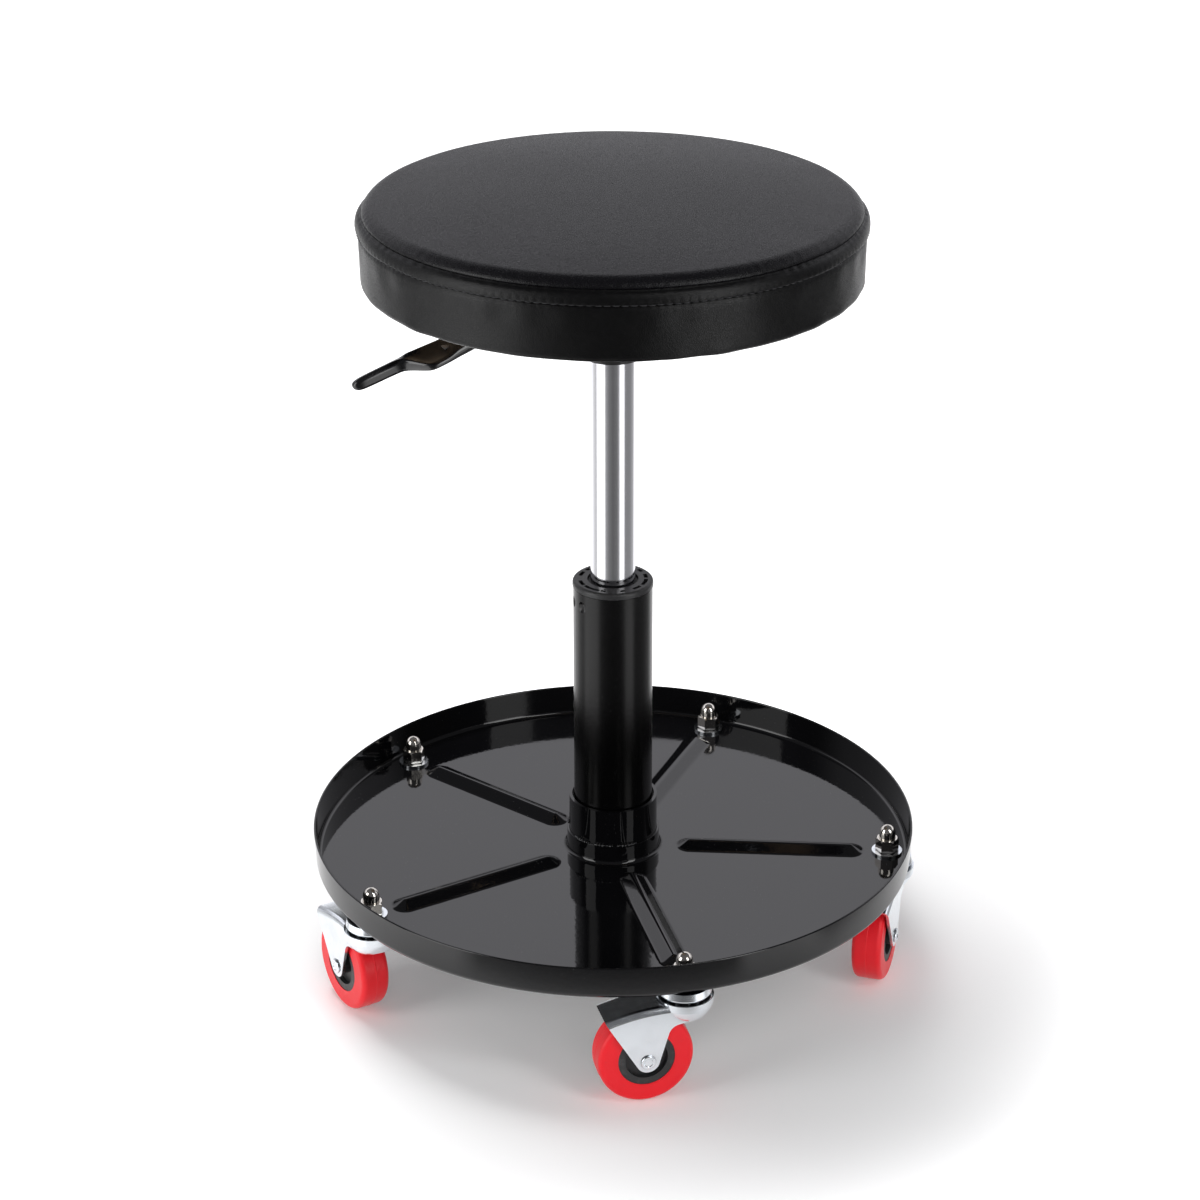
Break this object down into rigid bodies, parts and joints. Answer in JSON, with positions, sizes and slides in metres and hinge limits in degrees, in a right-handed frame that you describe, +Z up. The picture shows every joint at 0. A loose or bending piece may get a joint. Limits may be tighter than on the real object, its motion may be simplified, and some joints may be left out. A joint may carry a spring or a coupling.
{
  "type": "creeper seat",
  "caption": "Round padded swivel stool on a gas lift with a release lever, standing on a shallow round tool tray that rolls on swivel casters.",
  "frame": {"origin": "on the floor under the middle of the column, raised seat", "axes": "+Z up, -Y towards the viewer of the picture, +X to the viewer's right"},
  "size_m": [0.3871, 0.3901, 0.5184],
  "materials": {
    "tray_paint": "gloss black powder coat",
    "column_paint": "satin black powder coat",
    "frame_paint": "matt black paint",
    "cap_plastic": "moulded black acetal",
    "seal_rubber": "matt black rubber",
    "race_steel": "hardened, ground",
    "ball_steel": "polished balls",
    "rod_steel": "hard chromed and ground",
    "cylinder_steel": "drawn and ground steel",
    "inner_plastic": "moulded black plastic",
    "nickel": "nickel plated",
    "zinc": "bright zinc plated",
    "lever_steel": "zinc plated flat bar",
    "grip_plastic": "gloss black moulded plastic",
    "core_plastic": "moulded black plastic",
    "tread_red": "smooth red polyurethane",
    "plywood": "birch plywood",
    "foam": "open-cell foam",
    "vinyl": "grained black vinyl",
    "vinyl_side": "grained black vinyl"
  },
  "bodies": {
    "base": {"tray": "tray_paint", "column_socket": "tray_paint", "socket_welds": "tray_paint", "column_tube": "column_paint", "column_cap": "cap_plastic", "wiper_ring": "seal_rubber", "bearing_lower_race": "race_steel", "stud_washers": "zinc", "acorn_nuts": "nickel", "caster_balls": "ball_steel", "caster_stem_1": "zinc", "caster_stem_2": "zinc", "caster_stem_3": "zinc", "caster_stem_4": "zinc", "caster_stem_5": "zinc"},
    "lift_rod": {"piston_rod": "rod_steel", "piston": "race_steel", "bearing_balls": "ball_steel", "bearing_upper_race": "race_steel", "rubber_buffer": "seal_rubber", "buffer_washer": "race_steel", "rod_clip": "race_steel"},
    "seat": {"gas_cylinder": "cylinder_steel", "cylinder_gland": "inner_plastic", "valve_body": "race_steel", "lift_cone": "frame_paint", "lever_housing": "frame_paint", "seat_plate": "frame_paint", "seat_bolts": "zinc", "tee_nuts": "zinc", "lever_pin": "zinc", "seat_board": "plywood", "seat_foam": "foam", "seat_top_panel": "vinyl", "seat_binding": "vinyl_side", "seat_side_band": "vinyl_side"},
    "lever": {"lever_arm": "lever_steel", "lever_grip": "grip_plastic"},
    "release": {"release_pin": "rod_steel"},
    "fork_1": {"caster_fork_1": "zinc", "caster_axle_1": "zinc"},
    "wheel_1": {"wheel_core_1": "core_plastic", "wheel_tread_1": "tread_red"},
    "fork_2": {"caster_fork_2": "zinc", "caster_axle_2": "zinc"},
    "wheel_2": {"wheel_core_2": "core_plastic", "wheel_tread_2": "tread_red"},
    "fork_3": {"caster_fork_3": "zinc", "caster_axle_3": "zinc"},
    "wheel_3": {"wheel_core_3": "core_plastic", "wheel_tread_3": "tread_red"},
    "fork_4": {"caster_fork_4": "zinc", "caster_axle_4": "zinc"},
    "wheel_4": {"wheel_core_4": "core_plastic", "wheel_tread_4": "tread_red"},
    "fork_5": {"caster_fork_5": "zinc", "caster_axle_5": "zinc"},
    "wheel_5": {"wheel_core_5": "core_plastic", "wheel_tread_5": "tread_red"}
  },
  "joints": [
    {"name": "seat_swivel", "type": "hinge", "parent": "base", "child": "lift_rod", "pos_m": [0, 0, 0.051], "axis": [0, 0, 1], "continuous": true},
    {"name": "seat_lift", "type": "slide", "parent": "lift_rod", "child": "seat", "axis": [0, 0, 1], "range_m": [-0.125, 0]},
    {"name": "lever_tilt", "type": "hinge", "parent": "seat", "child": "lever", "pos_m": [-0.01905, -0.011, 0.4471], "axis": [-0.5, 0.866, 0], "range_deg": [0, 8], "stiffness_Nm_per_rad": 3, "springref_deg": -5.73},
    {"name": "pin_press", "type": "slide", "parent": "seat", "child": "release", "axis": [0, 0, 1], "range_m": [-0.0032, 0]},
    {"name": "caster_swivel_1", "type": "hinge", "parent": "base", "child": "fork_1", "pos_m": [0.17657, -0.01235, 0.0676], "axis": [0, 0, 1], "continuous": true},
    {"name": "wheel_spin_1", "type": "hinge", "parent": "fork_1", "child": "wheel_1", "pos_m": [0.16897, -0.03721, 0.03], "axis": [0.9563, -0.2924, 0], "continuous": true},
    {"name": "caster_swivel_2", "type": "hinge", "parent": "base", "child": "fork_2", "pos_m": [0.06631, 0.16411, 0.0676], "axis": [0, 0, 1], "continuous": true},
    {"name": "wheel_spin_2", "type": "hinge", "parent": "fork_2", "child": "wheel_2", "pos_m": [0.08882, 0.15111, 0.03], "axis": [0.5, 0.866, 0], "continuous": true},
    {"name": "caster_swivel_3", "type": "hinge", "parent": "base", "child": "fork_3", "pos_m": [-0.13559, 0.11377, 0.0676], "axis": [0, 0, 1], "continuous": true},
    {"name": "wheel_spin_3", "type": "hinge", "parent": "fork_3", "child": "wheel_3", "pos_m": [-0.11116, 0.12267, 0.03], "axis": [-0.342, 0.9397, 0], "continuous": true},
    {"name": "caster_swivel_4", "type": "hinge", "parent": "base", "child": "fork_4", "pos_m": [-0.1501, -0.0938, 0.0676], "axis": [0, 0, 1], "continuous": true},
    {"name": "wheel_spin_4", "type": "hinge", "parent": "fork_4", "child": "wheel_4", "pos_m": [-0.16388, -0.07175, 0.03], "axis": [-0.848, -0.5299, 0], "continuous": true},
    {"name": "caster_swivel_5", "type": "hinge", "parent": "base", "child": "fork_5", "pos_m": [0.04282, -0.17174, 0.0676], "axis": [0, 0, 1], "continuous": true},
    {"name": "wheel_spin_5", "type": "hinge", "parent": "fork_5", "child": "wheel_5", "pos_m": [0.01771, -0.17847, 0.03], "axis": [0.2588, -0.9659, 0], "continuous": true}
  ],
  "couplings": [
    {"joint": "pin_press", "follows": "lever_tilt", "m_per_rad": -0.022}
  ]
}
